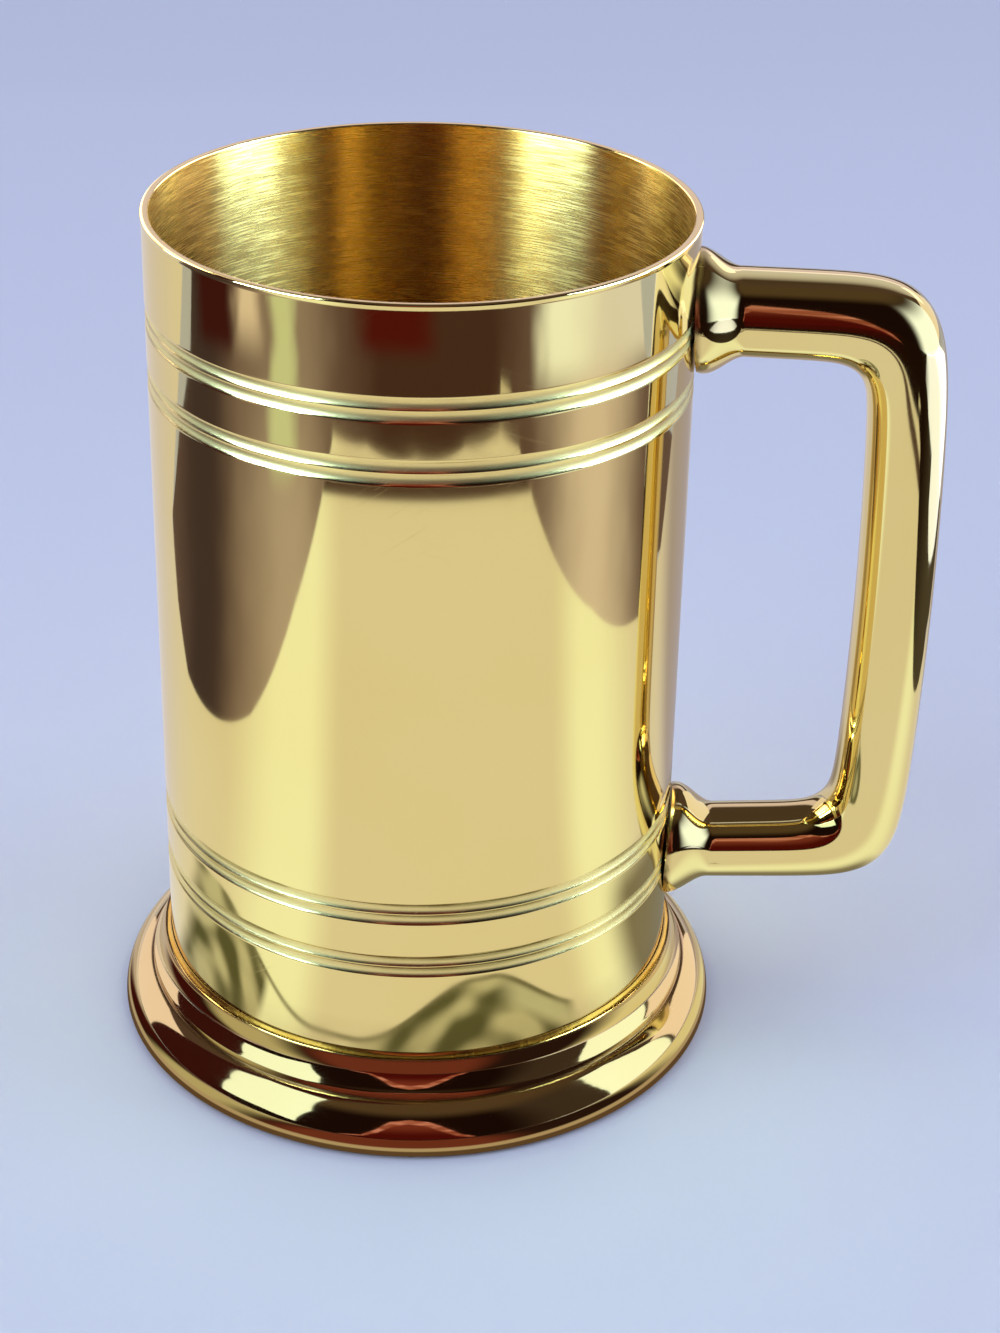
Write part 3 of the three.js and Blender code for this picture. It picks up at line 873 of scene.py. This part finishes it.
def added(n, color, share, extra):
    """A colour with a share of another one added to it."""
    return n.mix(1.0, color, n.mix(share, (0, 0, 0, 1), (*extra, 1)), "ADD")


def floor_material():
    material = bpy.data.materials.new("floor_pale")
    material.use_nodes = True
    shader = material.node_tree.nodes["Principled BSDF"]
    shader.inputs["Base Color"].default_value = (0.54, 0.57, 0.73, 1)
    shader.inputs["Roughness"].default_value = 0.9
    shader.inputs["Specular IOR Level"].default_value = 0.1
    return material


def flag_material():
    """Brown, darker in front and left, with soft pale, green, pink and red shapes far from the foot."""
    n = Nodes("flag_brown")
    side, away = from_axis(n)
    sway = n.math("SUBTRACT", n.noise(n.position(), 15.0, 2.0), 0.5)
    side = n.plus(side, n.times(sway, 10.0))
    color = n.mix(streak(n, side, -120, -95, -90, -70), (0.135, 0.092, 0.098, 1), (0.058, 0.042, 0.052, 1))
    color = n.mix(streak(n, side, -30, -10, 28, 46), color, (0.066, 0.034, 0.030, 1))
    red = n.times(streak(n, side, -25, -15, 1, 13), n.ramp(away, 0.348, 0.366))
    color = n.mix(red, color, (0.085, 0.008, 0.007, 1))
    left = n.times(streak(n, side, -85, -48, -44, -26), n.ramp(away, 0.24, 0.34, 1.0, 0.5))
    color = added(n, color, left, (0.35, 0.33, 0.36))
    color = added(n, color, streak(n, side, 44, 73, 76, 108), (0.60, 0.58, 0.66))
    maroon = n.times(streak(n, side, -97, -91, -78, -73), n.ramp(away, 0.328, 0.348))
    color = n.mix(maroon, color, (0.050, 0.010, 0.011, 1))
    pink = n.times(streak(n, side, -76, -70, -66, -59), n.ramp(away, 0.330, 0.375))
    color = n.mix(pink, color, (0.80, 0.72, 0.78, 1))
    green = n.times(streak(n, side, -59, -53, -50, -44), n.ramp(away, 0.256, 0.290))
    color = n.mix(green, color, (0.64, 0.76, 0.62, 1))
    pale = n.times(n.ramp(side, 45, 56), n.ramp(away, 0.310, 0.348))
    color = n.mix(pale, color, n.mix(n.ramp(side, 58, 84), (1.0, 1.16, 1.38, 1), (0.80, 0.84, 1.05, 1)))
    return glow(n, color)


def shaded_folds(n, color, side, away):
    """Painted shade in soft grey-green folds close to the foot, with a painted highlight streak, below a
    wavy edge with a dark line along it.
    """
    swell = n.times(streak(n, side, -16, 22, 28, 60), 0.0168)
    depth = n.math("SUBTRACT", n.plus(swell, n.ramp(side, -28, -78, 0.061, 0.085)), away)
    spot = n.vector(n.times(side, 0.06), n.times(depth, 110.0), 0.0)
    shade_pleats = n.ramp(n.noise(spot, 1.0, 0.5), 0.36, 0.64)
    shade = n.mix(shade_pleats, (0.11, 0.115, 0.065, 1), (0.58, 0.60, 0.50, 1))
    lit = n.times(streak(n, side, 27, 38, 50, 58), streak(n, depth, 0.0, 0.003, 0.006, 0.011))
    shade = n.mix(n.times(lit, 0.8), shade, (0.66, 0.70, 0.62, 1))
    inside = n.ramp(depth, -0.0004, 0.0008)
    color = n.mix(n.times(inside, streak(n, side, -22, -6, 52, 57)), color, shade)
    color = n.mix(n.times(inside, streak(n, side, -98, -84, -50, -46)), color, shade)
    line = streak(n, depth, -0.0006, 0.0002, 0.0006, 0.0018)
    edge = n.times(line, streak(n, side, -66, -56, 46, 56))
    return n.mix(n.times(edge, 0.85), color, (0.15, 0.15, 0.10, 1))


def sheet_material():
    """White, cooler behind, with painted shadow under and behind the handle, light streaks, folds of
    painted shade and a dark strip.
    """
    n = Nodes("sheet_white")
    side, away = from_axis(n)
    behind = n.ramp(n.math("ABSOLUTE", side), 95, 135)
    color = n.mix(behind, (0.81, 0.80, 0.76, 1), (0.72, 0.69, 0.74, 1))
    color = added(n, color, streak(n, side, -80, -50, -40, -25), (0.21, 0.34, 0.30))
    color = added(n, color, streak(n, side, 54, 70, 74, 104), (0.21, 0.34, 0.30))
    # Painted shadow on the floor behind the handle, to the right.
    color = n.mix(streak(n, side, 116, 132, 148, 180), color, (0.42, 0.38, 0.44, 1))
    # Painted shadow on the floor close under the handle.
    under = n.times(streak(n, side, 72, 90, 150, 178), n.ramp(away, 0.095, 0.078))
    color = n.mix(under, color, (0.24, 0.23, 0.19, 1))
    color = shaded_folds(n, color, side, away)
    strip = n.times(streak(n, side, -60, -54, 54, 60), streak(n, away, 0.2655, 0.2675, 0.283, 0.285))
    color = n.mix(strip, color, (0.066, 0.034, 0.030, 1))
    return glow(n, color)


def handle_floor_material():
    """The floor beyond the sheet as the handle mirrors it: umber, red in front, lighter to the right."""
    n = Nodes("handle_floor")
    side, away = from_axis(n)
    color = n.mix(n.ramp(side, 40, 95), (0.012, 0.005, 0.003, 1), (0.075, 0.065, 0.052, 1))
    red = n.times(streak(n, side, -50, -30, 8, 24), n.ramp(away, 0.33, 0.37))
    return glow_over(n, n.mix(red, color, (0.060, 0.004, 0.003, 1)))


def handle_sheet_material():
    """The bright floor to the right as the handle mirrors it, fading towards the front."""
    n = Nodes("card_bright")
    side, _ = from_axis(n)
    return glow_over(n, n.mix(n.ramp(side, 44, 62), (0.05, 0.05, 0.05, 1), (1.15, 1.36, 2.1, 1)))


def foot_floor_material():
    """The floor as the foot mirrors it: umber, red in front, pale on both sides and close by, with a
    painted contact shadow at the foot's edge.
    """
    n = Nodes("foot_floor")
    side, away = from_axis(n)
    color = n.mix(n.ramp(side, -62, -80), (0.022, 0.010, 0.008, 1), (0.045, 0.006, 0.005, 1))
    color = n.mix(streak(n, side, -34, -20, 16, 30), color, (0.16, 0.040, 0.026, 1))
    color = n.mix(streak(n, side, -70, -58, -44, -28), color, (0.50, 0.50, 0.32, 1))
    color = n.mix(n.ramp(side, 52, 76), color, (0.80, 0.82, 0.56, 1))
    color = n.mix(n.ramp(side, 98, 112), color, (0.55, 0.52, 0.46, 1))
    color = n.mix(n.ramp(side, -88, -102), color, (0.55, 0.50, 0.46, 1))
    color = n.mix(n.ramp(away, 0.0522, 0.0508), color, (0.46, 0.40, 0.30, 1))
    # Painted contact shadow where the foot stands.
    color = n.mix(n.ramp(away, 0.0496, 0.0490), color, (0.12, 0.08, 0.05, 1))
    return glow_over(n, color)


def room_material():
    """A dim room: nearly black in front, maroon to the left, umber to the right and overhead."""
    n = Nodes("room_dark")
    side, away = from_axis(n)
    color = n.mix(n.ramp(side, -58, -80), (0.010, 0.004, 0.003, 1), (0.040, 0.008, 0.008, 1))
    color = n.mix(n.ramp(side, 34, 57), color, (0.05, 0.036, 0.028, 1))
    overhead = n.times(n.ramp(away, 1.35, 0.7), n.ramp(side, -90, -55))
    color = n.mix(overhead, color, (0.088, 0.060, 0.036, 1))
    return glow(n, color)


def rear_material():
    """A pale band behind the tankard, between umber below and overhead."""
    n = Nodes("room_rear")
    _, away = from_axis(n)
    band = streak(n, away, 1.74, 1.82, 1.93, 1.95)
    return glow(n, n.mix(band, (0.075, 0.052, 0.040, 1), (0.80, 0.70, 0.86, 1)))


def ember_material():
    """Orange red in uneven patches."""
    n = Nodes("card_ember")
    patch = n.ramp(n.noise(n.position(), 9.0, 3.0, 0.6), 0.40, 0.60)
    return glow(n, n.mix(patch, (0.30, 0.085, 0.06, 1), (0.66, 0.29, 0.27, 1)))


def ember_flag_material():
    """Deep red, brighter higher up."""
    n = Nodes("flag_ember")
    share = n.ramp(height_of(n), 0.08, 0.30)
    return glow(n, n.mix(share, (0.072, 0.005, 0.004, 1), (0.18, 0.036, 0.026, 1)))


def soft_window_material():
    """Daylight that fades out towards the front and overhead."""
    n = Nodes("window_soft")
    side, away = from_axis(n)
    rise = n.times(n.math("ARCTAN2", height_of(n), away), math.degrees(1))
    share = n.times(n.ramp(side, 40, 58), n.ramp(rise, 56, 24))
    return glow_over(n, n.mix(share, (0, 0, 0, 1), (1.15, 1.45, 2.0, 1)))


def arm_material():
    """Pale, fading out at the top."""
    n = Nodes("card_arm")
    share = n.ramp(height_of(n), 0.188, 0.140)
    return glow_over(n, n.mix(share, (0, 0, 0, 1), (0.62, 0.66, 0.78, 1)))


# The floor, and what lies over it for the metal to mirror

FLOOR_CORNERS = ((-4, -4), (4, -4), (4, 4), (-4, 4))
stage_mesh("floor", [(x, y, -0.0001) for x, y in FLOOR_CORNERS], [[0, 1, 2, 3]], floor_material())
table = [(-1500, -2000), (1500, -2000), (1500, -300), (330, 60), (215, 152), (182, 93), (190, 70), (60, 0),
         (-60, 0), (-150, 70), (-190, 106), (-250, 98), (-320, 65), (-1500, 65)]
in_front = [(-143, 40), (-140, -60), (-152, -140), (-158, -256), (-95, -281), (0, -291), (95, -281),
            (163, -257), (187, -225), (189, -60), (177, 40)]
behind = [(-143, 40), (177, 40), (182, 93), (215, 152), (400, 500), (-600, 500), (-600, 100), (-225, 110),
          (-186, 105), (-160, 74)]
far_right = [(330, -300), (296, -200), (311, -99), (277, -76), (252, 0), (234, 89), (250, 200), (400, 330),
             (1400, 450), (1230, -830)]
corner = [(166, -268), (196, -262), (179, -285)]
sheet = sheet_material()
card("flag_table", table, 0.2, flag_material(), beside_handle)
card("flag_handle", table, 0.25, handle_floor_material(), handle_only)
card("card_sheet", in_front, 0.4, sheet, above_foot)
card("card_foot", in_front, 0.45, foot_floor_material(), foot_only)
card("card_sheet_rear", behind, 0.4, sheet)
card("card_handle", far_right, 0.6, handle_sheet_material(), handle_only)
card("card_corner", corner, 0.5, glowing("card_plain", (0.70, 0.70, 0.62)))


# What stands round the tankard for the metal to mirror

ember = [(-230, 16), (-150, 60), (-110, 200), (-75, 460), (-10, 560), (60, 470), (125, 200), (150, 100),
         (200, 16)]
ember_flag = [(-200, 16), (-140, 40), (-100, 130), (-58, 300), (-10, 380), (48, 310), (108, 130), (135, 60),
              (175, 16)]
over_arm = [(36, 135), (105, 135), (105, 192), (36, 192)]
upright_card("card_ember", ember, -500, ember_material())
upright_card("flag_ember", ember_flag, -490, ember_flag_material())
upright_card("card_arm", over_arm, 24, arm_material(), handle_only)
umber = glowing("room_umber", (0.085, 0.056, 0.047))
pink = glowing("bounce_pink", (0.95, 0.86, 0.88))
warm = glowing("bounce_warm", (1.02, 0.96, 0.96))
ball_patch("room_dark", -112, 112, -6, 90, 2.0, room_material())
ball_patch("ceiling_left", -150, -112, 36, 90, 2.0, umber)
ball_patch("ceiling_right", 112, 150, 32, 90, 2.0, umber)
ball_patch("ceiling_rear", 150, 210, 6, 90, 2.0, rear_material())
ball_patch("bounce_left", -150, -112, -8, 36, 1.9, pink)
ball_patch("bounce_right", 110, 150, -8, 32, 1.9, warm)
DAYLIGHT = (1.10, 1.42, 1.45)
left_pane = [(-71, 10), (-55, 11), (-41, 7), (-41, 39), (-52, 58), (-68, 70), (-88, 68), (-103, 62),
             (-99, 53), (-78, 35)]
right_pane = [(74, -6), (73, 20), (75, 33), (81, 45), (96, 56), (109, 52), (107, 38), (109, 29), (106, -6)]
handle_pane = [(38, -6), (110, -6), (110, 60), (38, 60)]
clear = glow_over(Nodes("window_clear"), (*DAYLIGHT, 1))
pane("window_left", (-66, 38), left_pane, 1.4, glowing("window_light", DAYLIGHT))
pane("window_right", (92, 25), right_pane, 1.4, clear, beside_handle)
pane("window_handle", (74, 26), handle_pane, 1.5, soft_window_material(), handle_only)


# Lamps and backdrop

def softbox(name, side, rise, distance, size, power, color, lit=None):
    """A soft lamp aimed at the tankard. The metal mirrors it only where it lights chosen pieces alone."""
    data = bpy.data.lights.new(name, "AREA")
    data.shape = "RECTANGLE"
    data.size, data.size_y = size
    data.energy = power
    data.color = color
    lamp = bpy.data.objects.new(name, data)
    side, rise = math.radians(side), math.radians(rise)
    level = distance * math.cos(rise)
    lamp.location = (level * math.sin(side), -level * math.cos(side), distance * math.sin(rise))
    aim = Vector((AXIS_X * MM, 0, 0.06)) - lamp.location
    lamp.rotation_euler = aim.to_track_quat("-Z", "Y").to_euler()
    if lit:
        lamp.light_linking.receiver_collection = lit
    else:
        lamp.visible_glossy = False
    bpy.context.scene.collection.objects.link(lamp)


COOL = (0.78, 0.97, 1.0)
WARM = (1.0, 0.88, 0.7)
softbox("key_left", -56, 36, 1.2, (0.66, 1.2), 4.6, COOL)
softbox("key_right", 88, 28, 1.2, (0.68, 1.25), 4.6, COOL)
softbox("overhead", 180, 86, 1.5, (1.6, 1.6), 5, (1, 1, 1))
softbox("cup_left", -59, 29, 1.0, (0.52, 0.6), 26.0, (0.63, 1.0, 1.3), cup)
softbox("cup_right", 87, 29, 1.0, (0.52, 0.6), 38.0, (0.62, 1.0, 1.3), cup)
softbox("cup_side_left", -112, 30, 1.0, (0.16, 0.6), 5.0, (1.0, 0.98, 0.76), cup)
softbox("cup_side_right", 118, 30, 1.0, (0.36, 0.6), 4.0, (1.0, 0.95, 0.8), cup)
softbox("cup_rear_left", -150, 30, 1.0, (0.5, 0.6), 2.2, WARM, cup)
softbox("cup_rear_right", 140, 30, 1.0, (0.6, 0.6), 8.0, WARM, cup)

world = bpy.data.worlds.new("studio")
bpy.context.scene.world = world
world.use_nodes = True
backdrop = world.node_tree.nodes["Background"]
backdrop.inputs["Color"].default_value = (0.55, 0.56, 0.68, 1)
backdrop.inputs["Strength"].default_value = 1.0


# Camera, at the photograph's viewing angle

FOCAL_LENGTH = 2719.3  # in the photograph's pixels
PICTURE_HEIGHT = 1333
PITCH = math.radians(28.30)
ROLL = math.radians(1.271)
VIEW_DISTANCE = 423.0  # from the point looked at, in millimetres
VIEW_SIDE = 12.5  # of that point, right of the axis
VIEW_HEIGHT = 58.87

forward = Vector((0, math.cos(PITCH), -math.sin(PITCH)))
level = Vector((1, 0, 0))
upward = level.cross(forward)
right = math.cos(ROLL) * level + math.sin(ROLL) * upward
up = -math.sin(ROLL) * level + math.cos(ROLL) * upward
eye = (Vector((VIEW_SIDE, 0, VIEW_HEIGHT)) - VIEW_DISTANCE * forward) * MM
basis = Matrix((right, up, -forward)).transposed().to_4x4()
turn = Matrix.Rotation(SWING, 4, "Z")
camera_data = bpy.data.cameras.new("camera")
camera_data.sensor_width = 36
camera_data.lens = 36 * FOCAL_LENGTH / PICTURE_HEIGHT
camera_data.clip_start = 0.01
camera = bpy.data.objects.new("camera", camera_data)
camera.matrix_world = Matrix.Translation((AXIS_X * MM, 0, 0)) @ turn @ Matrix.Translation(eye) @ basis
bpy.context.scene.collection.objects.link(camera)
bpy.context.scene.camera = camera
bpy.context.scene.view_settings.view_transform = "Standard"
